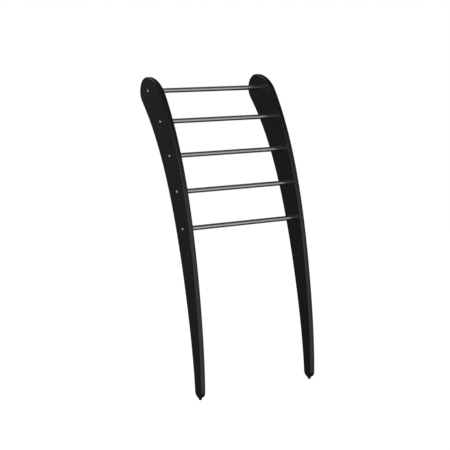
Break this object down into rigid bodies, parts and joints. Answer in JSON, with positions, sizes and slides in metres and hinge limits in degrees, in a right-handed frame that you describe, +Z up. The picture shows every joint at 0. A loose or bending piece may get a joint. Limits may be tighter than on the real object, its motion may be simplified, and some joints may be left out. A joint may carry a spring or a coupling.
{
  "type": "towel warmer rack",
  "caption": "Leaning ladder towel warmer with curved black wooden rails and round heated steel rungs in the upper half, standing on rubber feet against a wall.",
  "frame": {"origin": "on the floor, under the middle of the whole object's box", "axes": "+X along the rungs to the rail that carries the controls, +Y to the wall that the rack leans on, +Z up"},
  "size_m": [0.7158, 0.641, 1.617],
  "materials": {
    "black_lacquer": "black satin lacquer over fine-grained wood",
    "satin_steel": "satin stainless, polished around the tube",
    "bright_steel": "polished stainless",
    "brass": "turned brass",
    "black_rubber": "matt black rubber",
    "black_plastic": "fine-textured moulded black plastic",
    "cream_moulding": "cream moulded ceramic-filled plastic",
    "grey_insulation": "grey heat-resistant sleeve"
  },
  "bodies": {
    "rack": {"left_rail": "black_lacquer", "right_rail": "black_lacquer", "rung_tube_1": "satin_steel", "rung_tube_2": "satin_steel", "rung_tube_3": "satin_steel", "rung_tube_4": "satin_steel", "rung_tube_5": "satin_steel", "left_end_plug_1": "brass", "left_end_plug_2": "brass", "left_end_plug_3": "brass", "left_end_plug_4": "brass", "left_end_plug_5": "brass", "right_end_plug_1": "brass", "right_end_plug_2": "brass", "right_end_plug_3": "brass", "right_end_plug_4": "brass", "right_end_plug_5": "brass", "heating_element_1": "satin_steel", "heating_element_2": "satin_steel", "heating_element_3": "satin_steel", "heating_element_4": "satin_steel", "heating_element_5": "satin_steel", "rung_screw_1": "bright_steel", "rung_screw_2": "bright_steel", "rung_screw_3": "bright_steel", "rung_screw_4": "bright_steel", "rung_screw_5": "bright_steel", "cable_nut_1": "brass", "cable_nut_2": "brass", "cable_nut_3": "brass", "cable_nut_4": "brass", "cable_nut_5": "brass", "left_foot": "black_rubber", "left_wall_bumper": "black_rubber", "right_foot": "black_rubber", "right_wall_bumper": "black_rubber", "cover_screw_1": "bright_steel", "cover_screw_2": "bright_steel", "cover_screw_3": "bright_steel", "cover_screw_4": "bright_steel", "cover_screw_5": "bright_steel", "plate_screw_1": "bright_steel", "plate_screw_2": "bright_steel", "plate_screw_3": "bright_steel", "plate_screw_4": "bright_steel", "wiring_cover": "black_lacquer", "control_plate": "black_plastic", "switch_housing": "black_plastic", "rocker_pin": "bright_steel", "inlet_pin_live": "brass", "inlet_pin_neutral": "brass", "inlet_pin_earth": "brass", "inlet_body": "black_plastic", "terminal_block": "cream_moulding", "overheat_cutout": "grey_insulation", "wiring_harness": "grey_insulation"},
    "rocker": {"switch_rocker": "black_plastic"}
  },
  "joints": [
    {"name": "rocker_hinge", "type": "hinge", "parent": "rack", "child": "rocker", "pos_m": [0.352, -0.22785, 0.48553], "axis": [0, -0.981, 0.1942], "range_deg": [0, 14]}
  ]
}
